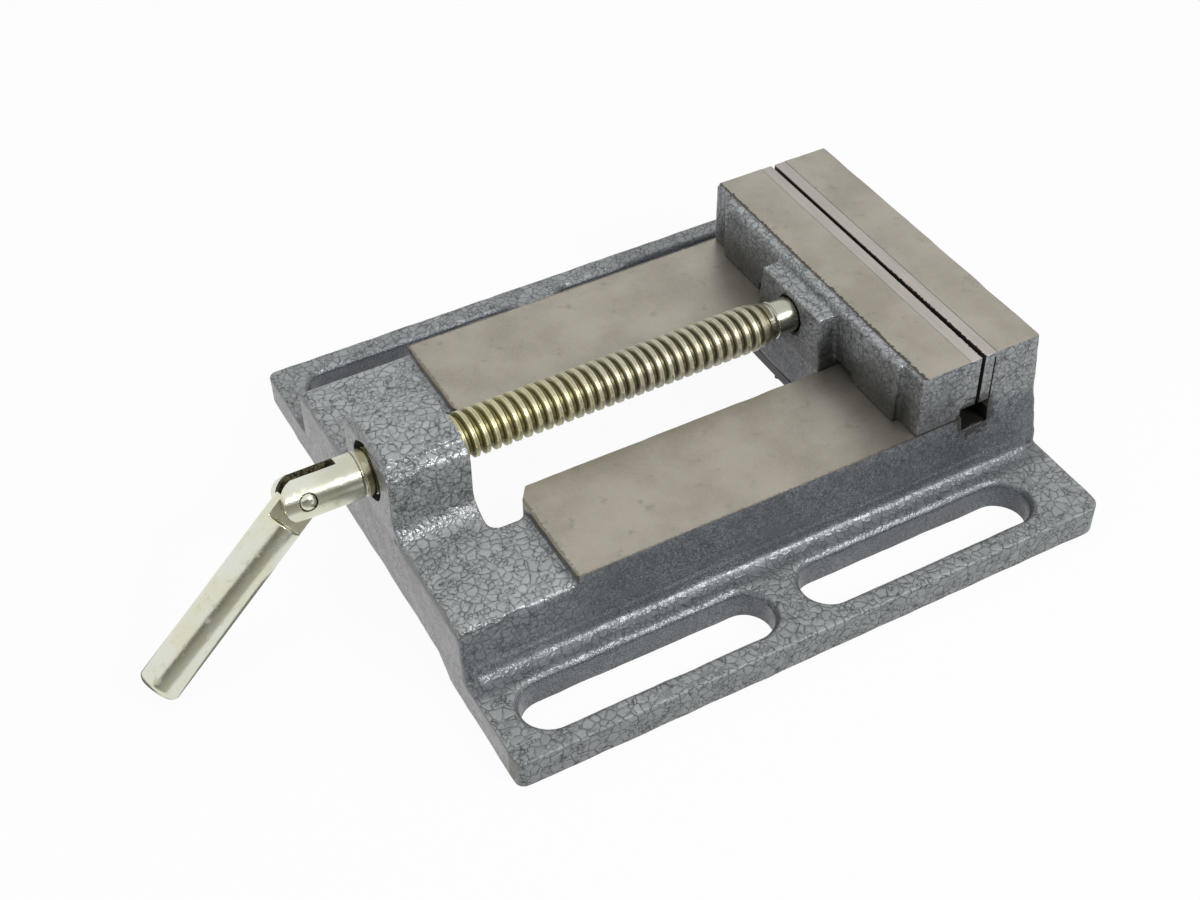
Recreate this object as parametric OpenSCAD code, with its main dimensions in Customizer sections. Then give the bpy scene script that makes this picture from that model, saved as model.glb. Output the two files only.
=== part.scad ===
// Drill press vise with a cast base, a sliding jaw, a trapezoidal lead screw
// and a folding handle. The frame: +X runs along the screw from the handle to
// the fixed jaw, +Z is up, and the origin lies on the underside of the flanges,
// midway between the four hold-down slots.

/* [Jaws] */
// Width of both jaws and of the rails across
jaw_w = 100; // [84:1:125]
// Height of the jaw tops above the table
jaw_h = 47; // [46:0.5:56]
// Thickness of each jaw plate
plate_t = 3.6; // [3:0.1:5]
// Height of the jaw plates' lower edges above the rails
plate_lift = 3.4; // [2.4:0.2:5]
// Distance between the two screws of a jaw plate
plate_screw_pitch = 60; // [50:1:70]
// Thread of the plate screws, across
plate_screw_d = 5; // [4:0.5:6]
// Length of the plate screws
plate_screw_l = 12; // [9:0.5:14]
// Length of the moving jaw behind its plate
moving_jaw_l = 17; // [15:0.5:24]
// Length of the fixed jaw behind its plate, at the top
fixed_jaw_l = 13.6; // [13:0.2:20]
// Gap between the plates as the vise is shown
jaw_gap = 1.2; // [1.1:0.1:4]
// Distance that the moving jaw opens from there
jaw_travel = 93; // [84:1:120]

/* [Base] */
// Width over the flanges
base_w = 160.6; // [156:0.2:200]
// Thickness of the flanges
flange_t = 8.7; // [7:0.1:11]
// Width of a hold-down slot
slot_w = 15; // [12:0.5:16]
// Metal outside a slot, to the edge of the flange
slot_inset = 6.4; // [5:0.1:8]
// Metal between the two slots of a flange
slot_web = 9.8; // [8:0.2:14]
// Metal in front of the front slots
slot_margin_front = 8; // [6:0.5:14]
// Metal behind the rear slots
slot_margin_rear = 15; // [8:0.5:20]
// Height of the rail tops above the table
rail_h = 27.6; // [26:0.2:30]
// Thickness of the rails
rail_t = 13.2; // [11:0.2:15]
// Width of the window between the rails
window_w = 31.2; // [28:0.2:36]
// Drop from the rail tops to the front deck
deck_drop = 2.6; // [1.5:0.1:4]
// Thickness of the side, front and rear walls
wall_t = 9; // [7:0.5:11]
// Radius at the foot of the side walls
foot_r = 4; // [2.5:0.5:5]
// Radius of the flanges' rear corners
corner_r = 4; // [2:0.5:6]
// Radius of the flanges' front corners
front_corner_r = 2.5; // [2:0.5:6]
// Height of the arch under the front wall
arch_h = 4.6; // [3:0.2:6]

/* [Bridge] */
// Length of the bridge along the screw
bridge_l = 22.4; // [18:0.2:30]
// Width of the bridge above its foot
bridge_w = 28; // [25:0.5:34]
// Height of the bridge's crown above the screw's axis
bridge_crown = 11; // [10:0.5:14]
// Length of the pocket between the bridge and the rails
pocket_l = 10.2; // [8:0.2:16]
// Width of that pocket
pocket_w = 46; // [42:1:54]

/* [Lead screw] */
// Depth of the screw's axis below the jaw tops
screw_drop = 10; // [9.4:0.1:10.4]
// Thread across its crests
screw_d = 13; // [11:0.2:14]
// Pitch of the thread
screw_pitch = 3; // [2.5:0.25:4]
// Smooth neck and fork across
neck_d = 12.2; // [10.4:0.2:13.2]
// Nose that turns in the moving jaw, across
nose_d = 9.2; // [8:0.2:10]
// Neck between the handle's pin and the bridge
neck_l = 17.6; // [16:0.2:26]

/* [Handle] */
// Diameter of the handle bar
handle_d = 11; // [9:0.5:12]
// Length from the pin to the end of the bar
handle_l = 59; // [50:1:90]
// Pin of the handle, across
pin_d = 4.5; // [3.5:0.1:5.5]
// Thickness of the handle's flat tang
tang_t = 4.2; // [3.4:0.1:5]
// Turn of the fork from upright, as the vise is shown, in degrees
fork_roll = 22; // [0:1:45]
// Drop of the handle below the screw's axis as shown, in degrees
handle_drop = 36; // [0:1:36]

/* [Keeper] */
// Thickness of the keeper plate under the rails
keeper_t = 3.2; // [2.6:0.1:4.4]
// Reach of the keeper under each rail
keeper_reach = 8.4; // [6:0.2:10]
// Length of the jaw's tongue and of the keeper along the screw
tongue_l = 18; // [17:0.5:22]
// Thread of the keeper bolts, across
bolt_d = 6; // [5:0.5:6]
// Distance between the keeper bolts
bolt_pitch = 18; // [16:0.5:19]
// Diameter of the pin that holds the screw's nose
stop_pin_d = 3; // [2.5:0.1:3.2]

/* [Hidden] */
$fn = 64;

// Colours
paint_blue = [0.46, 0.49, 0.53];
ground_steel = [0.66, 0.64, 0.60];
zinc = [0.80, 0.79, 0.68];
bright_zinc = [0.83, 0.84, 0.80];
dark_steel = [0.30, 0.30, 0.31];

// Overrun of every cut, running clearance of shafts, and slack of guided faces
over = 1;
run_gap = 0.05;
slide_gap = 0.15;

// Details of the base
rail_spare = 5;
back_draft = 4.2;
wall_draft = 2;
groove_w = 8.4;
groove_depth = 4.1;
bridge_foot_r = 7;
bridge_edge_r = 4;
bridge_front_r = 4.5;
bridge_rear_r = 1.2;
crown_rise = 2.4;
bore_chamfer = 0.8;
window_spare = 2;
pocket_r = 3;
rail_chamfer_l = 3.2;
arch_share = 0.72;
arch_foot_share = 0.85;
deck_edge_r = 2.2;
wall_corner_r = 1.6;

// Details of the moving jaw
boss_l = 5.3;
boss_drop = 3;
boss_draft = 1.6;
jaw_edge_r = 2.6;
pilaster_w = 8;
pilaster_step = 2;
foot_notch = 0.9;
relief_w = 7.4;
relief_h = 2.4;

// Details of the thread, its run-out cone, and how far the nose goes in
thread_depth_share = 0.56;
flank_share = 0.15;
runout_l = 2.4;
nose_show = 5.2;
nose_reach_share = 0.62;

// Details of the fork and the handle
fork_floor = 9.6;
shoulder_l = 8.3;
bar_chamfer = 0.9;
pin_proud = 0.3;
tang_gap = 0.1;

// Details of the fasteners
plate_head_share = 1.88;
plate_head_h_share = 0.56;
hex_share = 1.67;
hex_h_share = 0.67;
washer_share = 1.95;
washer_t_share = 0.27;
washer_split = 1;
bolt_grip_share = 1.9;
socket_share = 0.6;
socket_depth_share = 0.5;

// Places along X, from the front of the base to its rear
base_l = bridge_l + pocket_l + rail_spare + jaw_travel + moving_jaw_l
  + 2 * plate_t + jaw_gap + fixed_jaw_l + back_draft;
slot_l = (base_l - slot_margin_front - slot_margin_rear - slot_web) / 2;
slot_x = (slot_l + slot_web) / 2;
base_x0 = -(slot_web / 2 + slot_l + slot_margin_front);
base_x1 = base_x0 + base_l;
bridge_x1 = base_x0 + bridge_l;
rail_x0 = bridge_x1 + pocket_l;
jaw_x0 = rail_x0 + rail_spare + jaw_travel;
boss_x0 = jaw_x0 - boss_l;
jaw_x1 = jaw_x0 + moving_jaw_l;
plate_x1 = jaw_x1 + plate_t;
fixed_plate_x0 = plate_x1 + jaw_gap;
fixed_x0 = fixed_plate_x0 + plate_t;
fixed_x1 = fixed_x0 + fixed_jaw_l;
tongue_x1 = boss_x0 + tongue_l;
window_x1 = tongue_x1 + jaw_gap + window_spare;
pin_x = base_x0 - neck_l;
tongue_x = (boss_x0 + tongue_x1) / 2;

// Heights and half widths
screw_z = jaw_h - screw_drop;
deck_z = rail_h - deck_drop;
rail_z0 = rail_h - rail_t;
groove_z = rail_h - groove_depth;
plate_z0 = rail_h + plate_lift;
plate_h = jaw_h - plate_z0;
plate_z = jaw_h - plate_h / 2;
boss_z = jaw_h - boss_drop;
tongue_z0 = rail_z0 - slide_gap;
keeper_z0 = tongue_z0 - keeper_t;
keeper_w = window_w + 2 * keeper_reach;
tongue_w = window_w - 2 * slide_gap;
jaw_y = jaw_w / 2;
slot_y = base_w / 2 - slot_inset - slot_w / 2;
cavity_y = jaw_y - wall_t;

// Thread, fork and nose
screw_r = screw_d / 2;
neck_r = neck_d / 2;
nose_r = nose_d / 2;
nut_r = screw_r + run_gap;
thread_depth = thread_depth_share * screw_pitch;
root_r = screw_r - thread_depth;
thread_x0 = base_x0 - screw_pitch / 2;
thread_x1 = boss_x0 - nose_show;
nose_x1 = boss_x0 + nose_reach_share * (jaw_x1 - boss_x0);
stop_r = stop_pin_d / 2;
nose_groove_r = nose_r - stop_r;
stop_y = nose_groove_r + stop_r + run_gap;
stop_x = boss_x0 + boss_l;
stop_z1 = screw_z + stop_pin_d;
tang_r = handle_d / 2;
fork_slot = tang_t + tang_gap;

// Fasteners
washer_t = washer_t_share * bolt_d;
bolt_head_z1 = keeper_z0 - washer_t;
bolt_z1 = keeper_z0 + bolt_grip_share * bolt_d;

// Places a YZ outline between two places along X
module along_x(x0, x1) {
  translate([x0, 0, 0]) rotate([90, 0, 90]) linear_extrude(x1 - x0) children();
}

// Places an XZ outline between two places along Y
module along_y(y0, y1) {
  translate([0, y1, 0]) rotate([90, 0, 0]) linear_extrude(y1 - y0) children();
}

// A cylinder along +X from the place x0
module rod_x(x0, x1, r) {
  translate([x0, 0, 0]) rotate([0, 90, 0]) cylinder(h = x1 - x0, r = r);
}

// Plan of a plate from x0 to x1 with round corners
module rounded_plan(x0, x1, w, r) {
  translate([x0, -w / 2 + r]) square([x1 - x0, w - 2 * r]);
  translate([x0 + r, -w / 2]) square([x1 - x0 - 2 * r, w]);
  for (x = [x0 + r, x1 - r], y = [-w / 2 + r, w / 2 - r]) translate([x, y]) circle(r);
}

// The concave corner of a fillet, open towards +X and +Y
module fillet_corner(r) {
  difference() {
    square(r);
    translate([r, r]) circle(r);
  }
}

// Front view of the walls and rails: drafted sides on the flange
module wall_outline() {
  polygon([
    [-jaw_y - wall_draft, 0], [jaw_y + wall_draft, 0], [jaw_y + wall_draft, flange_t],
    [jaw_y, rail_h], [-jaw_y, rail_h], [-jaw_y - wall_draft, flange_t]
  ]);
}

// Front view of the walls under the front deck, with its round edges
module deck_outline() {
  draft = atan(wall_draft / (rail_h - flange_t));
  round_z = deck_z - deck_edge_r;
  round_y = jaw_y + (rail_h - round_z) * tan(draft) - deck_edge_r / cos(draft);
  side_y = round_y + deck_edge_r * cos(draft);
  side_z = round_z + deck_edge_r * sin(draft);
  polygon([
    [-jaw_y - wall_draft, 0], [jaw_y + wall_draft, 0], [jaw_y + wall_draft, flange_t],
    [side_y, side_z], [round_y, deck_z], [-round_y, deck_z],
    [-side_y, side_z], [-jaw_y - wall_draft, flange_t]
  ]);
  for (y = [-round_y, round_y]) translate([y, round_z]) circle(deck_edge_r);
}

// Side view of a block from x0 to x1, up to the height top, with round upper edges
module block_outline(x0, x1, top, front_r, rear_r) {
  polygon([
    [x0, 0], [x1, 0], [x1, top - rear_r], [x1 - rear_r, top], [x0 + front_r, top], [x0, top - front_r]
  ]);
  translate([x0 + front_r, top - front_r]) circle(front_r);
  translate([x1 - rear_r, top - rear_r]) circle(rear_r);
}

// Side view of the walls, the rails and the fixed jaw, with their drafted rear
module rear_outline(x0) {
  polygon([[x0, 0], [base_x1, 0], [base_x1, flange_t], [fixed_x1, jaw_h], [x0, jaw_h]]);
}

// Flanges, drafted walls, fixed jaw and bridge, before any cut
module base_body() {
  linear_extrude(flange_t) {
    rounded_plan(base_x0, slot_x, base_w, front_corner_r);
    rounded_plan(-slot_x, base_x1, base_w, corner_r);
  }
  intersection() {
    union() {
      intersection() {
        along_x(rail_x0, base_x1) wall_outline();
        along_y(-jaw_w, jaw_w) rear_outline(base_x0);
      }
      intersection() {
        along_x(base_x0, rail_x0 + over) deck_outline();
        along_y(-jaw_w, jaw_w)
          block_outline(base_x0, rail_x0 + jaw_w, deck_z, deck_edge_r, deck_edge_r);
      }
    }
    linear_extrude(rail_h) rounded_plan(base_x0, base_x1, jaw_w + 2 * wall_draft, wall_corner_r);
  }
  for (s = [-1, 1]) scale([1, s, 1])
    along_x(base_x0 + front_corner_r, base_x1 - corner_r)
      translate([jaw_y + wall_draft, flange_t]) fillet_corner(foot_r);
  intersection() {
    along_y(-jaw_y, jaw_y) rear_outline(fixed_x0);
    linear_extrude(jaw_h) rounded_plan(base_x0, base_x1, jaw_w, wall_corner_r);
  }
  bridge_body();
}

// The raised bridge that carries the screw's thread
module bridge_body() {
  crown_z = screw_z + bridge_crown;
  shoulder_z = crown_z - crown_rise;
  crown_r = (pow(bridge_w / 2, 2) + pow(crown_rise, 2)) / (2 * crown_rise);
  edge_y = bridge_w / 2 - bridge_edge_r;
  root_z = deck_z - deck_edge_r;
  intersection() {
    along_x(base_x0, bridge_x1) {
      intersection() {
        translate([0, crown_z - crown_r]) circle(crown_r);
        union() {
          translate([-bridge_w / 2, root_z])
            square([bridge_w, shoulder_z - bridge_edge_r - root_z]);
          translate([-edge_y, root_z]) square([2 * edge_y, crown_z - root_z + over]);
          for (y = [-edge_y, edge_y]) translate([y, shoulder_z - bridge_edge_r]) circle(bridge_edge_r);
        }
      }
      for (s = [-1, 1]) scale([s, 1])
        translate([bridge_w / 2, deck_z]) fillet_corner(bridge_foot_r);
    }
    along_y(-bridge_w, bridge_w)
      block_outline(base_x0, bridge_x1, crown_z, bridge_front_r, bridge_rear_r);
  }
}

// Plan of the window between the rails, with its wide pocket at the bridge
module window_plan() {
  translate([bridge_x1, -window_w / 2]) square([window_x1 - bridge_x1, window_w]);
  rounded_plan(bridge_x1, rail_x0, pocket_w, pocket_r);
  polygon([
    [rail_x0 - pocket_r, -pocket_w / 2 + pocket_r], [rail_x0, -pocket_w / 2 + pocket_r],
    [rail_x0 + rail_chamfer_l, -window_w / 2], [rail_x0 + rail_chamfer_l, window_w / 2],
    [rail_x0, pocket_w / 2 - pocket_r], [rail_x0 - pocket_r, pocket_w / 2 - pocket_r]
  ]);
}

// One long slot through a flange, centred
module slot_cut() {
  translate([0, 0, -over]) linear_extrude(flange_t + 2 * over) {
    square([slot_l - slot_w, slot_w], center = true);
    for (s = [-1, 1]) translate([s * (slot_l - slot_w) / 2, 0]) circle(slot_w / 2);
  }
}

// The smooth bore that stands for the bridge's thread, with its two mouths
module nut_bore() {
  mouth_r = nut_r + bore_chamfer;
  translate([0, 0, screw_z]) {
    rod_x(base_x0 - over, bridge_x1 + over, nut_r);
    translate([base_x0, 0, 0]) rotate([0, 90, 0])
      cylinder(h = bore_chamfer, r1 = mouth_r, r2 = nut_r);
    translate([bridge_x1 - bore_chamfer, 0, 0]) rotate([0, 90, 0])
      cylinder(h = bore_chamfer, r1 = nut_r, r2 = mouth_r);
    rod_x(base_x0 - over, base_x0, mouth_r);
    rod_x(bridge_x1, bridge_x1 + over, mouth_r);
  }
}

module base_casting() {
  color(paint_blue) difference() {
    base_body();
    // Hollow under the rails, and the arch under the front wall
    translate([base_x0 + wall_t, -cavity_y, -over])
      cube([base_l - 2 * wall_t, 2 * cavity_y, rail_z0 + over]);
    along_x(base_x0 - over, base_x0 + wall_t + over) polygon([
      [-arch_foot_share * jaw_y, -over], [-arch_foot_share * jaw_y, 0],
      [-arch_share * jaw_y, arch_h], [arch_share * jaw_y, arch_h],
      [arch_foot_share * jaw_y, 0], [arch_foot_share * jaw_y, -over]
    ]);
    // Window, chip groove and hold-down slots
    linear_extrude(rail_h + over) window_plan();
    translate([fixed_x0 - groove_w, -jaw_w, groove_z]) cube([groove_w, 2 * jaw_w, jaw_h]);
    for (x = [-slot_x, slot_x], y = [-slot_y, slot_y]) translate([x, y, 0]) slot_cut();
    nut_bore();
    for (s = [-1, 1]) plate_screw_hole(fixed_x0, 1, s);
  }
}

// Blind hole for a plate screw; way is +1 into the fixed jaw, -1 into the moving one
module plate_screw_hole(x, way, side) {
  tap_r = plate_screw_d / 2 + run_gap;
  deep = plate_screw_l - plate_t + over;
  translate([x, side * plate_screw_pitch / 2, plate_z]) rotate([0, 90 * way, 0])
    translate([0, 0, -over]) cylinder(h = deep + over, r = tap_r);
}

// A countersunk screw along +X, its flat head at x = 0
module plate_screw() {
  head_r = plate_head_share * plate_screw_d / 2;
  head_h = plate_head_h_share * plate_screw_d;
  socket_r = socket_share * plate_screw_d / 2;
  color(dark_steel) rotate([0, 90, 0]) difference() {
    union() {
      cylinder(h = head_h, r1 = head_r, r2 = plate_screw_d / 2);
      cylinder(h = plate_screw_l, r = plate_screw_d / 2);
    }
    translate([0, 0, -over])
      cylinder(h = socket_depth_share * head_h + over, r = socket_r, $fn = 6);
  }
}

// A jaw plate from x = 0 to plate_t, with its screw heads' seats at x = 0
module jaw_plate() {
  seat_r = plate_head_share * plate_screw_d / 2 + run_gap;
  seat_h = plate_head_h_share * plate_screw_d;
  hole_r = plate_screw_d / 2 + run_gap;
  color(ground_steel) difference() {
    translate([0, -jaw_y, plate_z0]) cube([plate_t, jaw_w, plate_h]);
    for (s = [-1, 1]) translate([0, s * plate_screw_pitch / 2, plate_z]) rotate([0, 90, 0]) {
      translate([0, 0, -over]) cylinder(h = plate_t + 2 * over, r = hole_r);
      cylinder(h = seat_h, r1 = seat_r, r2 = hole_r);
    }
  }
}

module fixed_jaw_plate() {
  translate([fixed_plate_x0, 0, 0]) jaw_plate();
}

module fixed_plate_screw(side) {
  translate([fixed_plate_x0, side * plate_screw_pitch / 2, plate_z]) plate_screw();
}

module moving_jaw_plate() {
  translate([plate_x1, 0, 0]) mirror([1, 0, 0]) jaw_plate();
}

module moving_plate_screw(side) {
  translate([plate_x1, side * plate_screw_pitch / 2, plate_z]) mirror([1, 0, 0]) plate_screw();
}

// Side view of the moving jaw, with its cast edge at the back of the top
module moving_jaw_outline() {
  foot_z = rail_h + run_gap;
  polygon([
    [jaw_x0, foot_z], [jaw_x0, jaw_h - jaw_edge_r], [jaw_x0 + jaw_edge_r, jaw_h - jaw_edge_r],
    [jaw_x0 + jaw_edge_r, jaw_h], [jaw_x1, jaw_h], [jaw_x1, plate_z0],
    [jaw_x1 - foot_notch, plate_z0], [jaw_x1 - foot_notch, foot_z]
  ]);
  translate([jaw_x0 + jaw_edge_r, jaw_h - jaw_edge_r]) circle(jaw_edge_r);
}

// Front view of the boss that takes the screw's nose, down to the keeper
module boss_outline() {
  half = tongue_w / 2;
  polygon([
    [-half, tongue_z0], [half, tongue_z0], [half, rail_h],
    [half - boss_draft, boss_z], [-half + boss_draft, boss_z], [-half, rail_h]
  ]);
}

module moving_jaw() {
  color(paint_blue) difference() {
    union() {
      along_y(-jaw_y, jaw_y) moving_jaw_outline();
      along_x(boss_x0, jaw_x0 + over) boss_outline();
      translate([boss_x0, -tongue_w / 2, tongue_z0])
        cube([tongue_l, tongue_w, rail_h + relief_h + over - tongue_z0]);
    }
    for (s = [-1, 1]) scale([1, s, 1]) {
      // Set-back ends of the rear face
      translate([jaw_x0 - over, jaw_y - pilaster_w, 0])
        cube([pilaster_step + over, pilaster_w + over, jaw_h + over]);
      // Relief beside the tongue, over the inner edge of the rail
      translate([jaw_x0 - over, tongue_w / 2, rail_h])
        cube([moving_jaw_l + 2 * over, relief_w, relief_h]);
    }
    // Blind bore for the nose, with an open mouth
    translate([0, 0, screw_z]) {
      rod_x(boss_x0 - over, nose_x1 + run_gap, nose_r + run_gap);
      rod_x(boss_x0 - over, boss_x0 + bore_chamfer, nose_r + bore_chamfer);
    }
    translate([stop_x, stop_y, tongue_z0 - over])
      cylinder(h = stop_z1 + run_gap - tongue_z0 + over, r = stop_r);
    for (s = [-1, 1]) {
      plate_screw_hole(jaw_x1, -1, s);
      translate([tongue_x, s * bolt_pitch / 2, tongue_z0 - over])
        cylinder(h = bolt_z1 + over - tongue_z0 + over, r = bolt_d / 2 + run_gap);
    }
  }
}

// Half section of the screw from its neck to its nose, as radius and place. The
// thread is drawn as grooves of the thread's form, one for each pitch.
function thread_groove(x) = let (
    flank = flank_share * screw_pitch,
    flat = screw_pitch / 2 - flank
  ) [[root_r, x], [root_r, x + flat], [screw_r, x + flat + flank], [screw_r, x + screw_pitch]];

module screw_half_section() {
  turns = floor((thread_x1 - runout_l - thread_x0) / screw_pitch);
  half_groove = stop_r + slide_gap;
  polygon(concat(
    [[0, pin_x], [neck_r, pin_x], [neck_r, thread_x0]],
    [for (i = [0:turns - 1], spot = thread_groove(thread_x0 + i * screw_pitch)) spot],
    [
      [screw_r, thread_x1 - runout_l], [nose_r, thread_x1],
      [nose_r, stop_x - half_groove], [nose_groove_r, stop_x - half_groove],
      [nose_groove_r, stop_x + half_groove], [nose_r, stop_x + half_groove],
      [nose_r, nose_x1], [0, nose_x1]
    ]
  ));
}

module lead_screw() {
  color(zinc) translate([0, 0, screw_z]) rotate([-fork_roll, 0, 0]) {
    difference() {
      rotate([0, 90, 0]) rotate_extrude() screw_half_section();
      fork_cut();
    }
    fork_end();
  }
}

// The slot for the tang and the hole for the pin
module fork_cut() {
  translate([pin_x - neck_d, -fork_slot / 2, -neck_d])
    cube([neck_d + fork_floor, fork_slot, 2 * neck_d]);
  translate([pin_x, neck_d, 0]) rotate([90, 0, 0]) cylinder(h = 2 * neck_d, r = pin_d / 2);
}

// Round ends of the two cheeks
module fork_end() {
  difference() {
    intersection() {
      rod_x(pin_x - neck_r - over, pin_x + over, neck_r);
      translate([pin_x, neck_d, 0]) rotate([90, 0, 0]) cylinder(h = 2 * neck_d, r = neck_r);
    }
    fork_cut();
  }
}

// The pin that holds the screw's nose in the moving jaw
module screw_stop_pin() {
  color(dark_steel) translate([stop_x, stop_y, tongue_z0])
    cylinder(h = stop_z1 - tongue_z0, r = stop_r);
}

module handle_pin() {
  reach = neck_r + pin_proud;
  color(bright_zinc) translate([pin_x, 0, screw_z]) rotate([-fork_roll, 0, 0])
    translate([0, reach, 0]) rotate([90, 0, 0]) cylinder(h = 2 * reach, r = pin_d / 2);
}

// The bar with its flat tang, laid out along -X from the pin and then dropped
module handle_bar() {
  color(bright_zinc) translate([pin_x, 0, screw_z]) rotate([-fork_roll, 0, 0])
    rotate([0, -handle_drop, 0]) difference() {
      union() {
        rotate([0, -90, 0]) rotate_extrude() polygon([
          [0, shoulder_l], [tang_r, shoulder_l], [tang_r, handle_l - bar_chamfer],
          [tang_r - bar_chamfer, handle_l], [0, handle_l]
        ]);
        intersection() {
          translate([0, tang_t / 2, 0]) rotate([90, 0, 0]) linear_extrude(tang_t) {
            circle(tang_r);
            translate([-shoulder_l - over, -tang_r]) square([shoulder_l + over, handle_d]);
          }
          rotate([0, -90, 0]) translate([0, 0, -handle_d]) cylinder(h = 2 * handle_d, r = tang_r);
        }
      }
      translate([0, neck_d, 0]) rotate([90, 0, 0])
        cylinder(h = 2 * neck_d, r = pin_d / 2 + run_gap);
    }
}

module keeper_plate() {
  color(dark_steel) difference() {
    translate([boss_x0, -keeper_w / 2, keeper_z0]) cube([tongue_l, keeper_w, keeper_t]);
    for (s = [-1, 1]) translate([tongue_x, s * bolt_pitch / 2, keeper_z0 - over])
      cylinder(h = keeper_t + 2 * over, r = bolt_d / 2 + run_gap);
  }
}

module keeper_bolt(side) {
  head_h = hex_h_share * bolt_d;
  head_r = hex_share * bolt_d / 2 / cos(30);
  color(dark_steel) translate([tongue_x, side * bolt_pitch / 2, bolt_head_z1]) {
    translate([0, 0, -head_h]) cylinder(h = head_h, r = head_r, $fn = 6);
    cylinder(h = bolt_z1 - bolt_head_z1, r = bolt_d / 2);
  }
}

// A split spring washer between the bolt's head and the keeper
module keeper_washer(side) {
  outer_r = washer_share * bolt_d / 2;
  color(bright_zinc) translate([tongue_x, side * bolt_pitch / 2, keeper_z0 - washer_t])
    difference() {
      cylinder(h = washer_t, r = outer_r);
      translate([0, 0, -over]) cylinder(h = washer_t + 2 * over, r = bolt_d / 2 + run_gap);
      translate([0, -washer_split / 2, -over])
        cube([outer_r + over, washer_split, washer_t + 2 * over]);
    }
}

base_casting();
fixed_jaw_plate();
fixed_plate_screw(-1);  // fixed_plate_screw_near
fixed_plate_screw(1);  // fixed_plate_screw_far
moving_jaw();
moving_jaw_plate();
moving_plate_screw(-1);  // moving_plate_screw_near
moving_plate_screw(1);  // moving_plate_screw_far
lead_screw();
screw_stop_pin();
handle_pin();
handle_bar();
keeper_plate();
keeper_bolt(-1);  // keeper_bolt_near
keeper_bolt(1);  // keeper_bolt_far
keeper_washer(-1);  // keeper_washer_near
keeper_washer(1);  // keeper_washer_far
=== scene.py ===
"""Drill press vise: rough painted castings with machined ways, a rolled lead screw and a folding bar handle."""

from math import cos, pi, radians, sin

import bpy
from mathutils import Matrix, Vector


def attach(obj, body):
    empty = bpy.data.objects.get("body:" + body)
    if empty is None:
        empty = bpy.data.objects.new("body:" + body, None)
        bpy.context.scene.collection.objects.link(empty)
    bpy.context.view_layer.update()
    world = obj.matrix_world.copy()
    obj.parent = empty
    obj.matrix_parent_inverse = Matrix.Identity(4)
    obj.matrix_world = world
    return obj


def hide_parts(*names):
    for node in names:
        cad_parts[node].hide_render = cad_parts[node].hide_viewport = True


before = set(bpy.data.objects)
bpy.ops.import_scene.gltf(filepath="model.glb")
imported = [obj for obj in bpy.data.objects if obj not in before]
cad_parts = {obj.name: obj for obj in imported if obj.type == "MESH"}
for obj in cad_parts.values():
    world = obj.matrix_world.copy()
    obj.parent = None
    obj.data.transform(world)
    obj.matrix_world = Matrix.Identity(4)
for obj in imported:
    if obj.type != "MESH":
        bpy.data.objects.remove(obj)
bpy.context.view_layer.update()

# Sizes in millimetres, as in the drawing of the vise
MM = 0.001
BASE_FRONT, BASE_HALF, FLANGE_TOP = -83.4, 80.3, 8.7
SLOT_START, SLOT_END, SLOT_AT, SLOT_WIDE = 4.9, 75.4, 66.4, 15.0
RAIL_FRONT, RAIL_TOP, DECK_TOP, WINDOW_HALF = -50.8, 27.6, 25.0, 15.6
JAW_REAR, JAW_FRONT, JAW_TOP, JAW_HALF = 47.2, 64.2, 47.0, 50.0
LEDGE_TOP, LEDGE_END = 46.5, 49.9
FIXED_FRONT, GROOVE_FLOOR, GROOVE_MID = 72.6, 23.5, 68.4
MOVING_FACE, FIXED_FACE, SEAM_AT = 67.8, 69.0, 72.05
KERF_FROM, KERF_TOP = 49.2, 45.6
SCREW_HIGH, PIN_AT, NOSE_AT = 37.0, -101.0, 41.9
CREST, ROOT, THREAD_ROOT, PITCH = 6.5, 4.95, 5.35, 3.0
THREAD_START, THREAD_END, BRIGHT_FROM = BASE_FRONT + 0.4, NOSE_AT - 6.0, NOSE_AT - 8.2
NECK, NOSE, SHOWN_NOSE, PIN = 6.1, 4.6, 5.0, 2.25
FORK_SLOT, FORK_DEPTH = 4.3, 9.6
BAR, BAR_LONG, SHOULDER, TANG, TANG_ROUND = 5.5, 59.0, 8.3, 4.2, 4.6
FORK_ROLL, HANDLE_DROP = radians(22), radians(36)

# Tools reach this far: past the jaws' ends, past the whole vise, over its top, and round the hinge
PAST_JAWS, AWAY, ABOVE, REACH = JAW_HALF + 5, 100, 60, 15

# Corners this close, in metres, are one; a face this close to a machined plane, in millimetres, lies on it
HAIR, TOUCH = 1e-6, 0.02

# The chip groove's black, painted shade over oil, climbs to here, in millimetres over the table
GROOVE_DARK_TOP = 28.5

# How bright the room is as a light
ROOM_LIGHT = 0.45


# Bench work: taking up pieces, cutting them and softening their edges


def take_up(*pieces):
    """Deselects everything and takes these pieces up, the first one active."""
    bpy.ops.object.select_all(action="DESELECT")
    for piece in pieces:
        piece.select_set(True)
    bpy.context.view_layer.objects.active = pieces[0]


def work(piece, kind, **settings):
    """Puts a modifier on a piece and applies it at once."""
    take_up(piece)
    tool = piece.modifiers.new(kind.title(), kind)
    for key, value in settings.items():
        setattr(tool, key, value)
    bpy.ops.object.modifier_apply(modifier=tool.name)
    return piece


def merge(piece, face_out=True):
    """Joins doubled corners, and turns every face outwards."""
    take_up(piece)
    bpy.ops.object.mode_set(mode="EDIT")
    bpy.ops.mesh.select_all(action="SELECT")
    bpy.ops.mesh.remove_doubles(threshold=HAIR)
    if face_out:
        bpy.ops.mesh.normals_make_consistent(inside=False)
    bpy.ops.object.mode_set(mode="OBJECT")
    return piece


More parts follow.
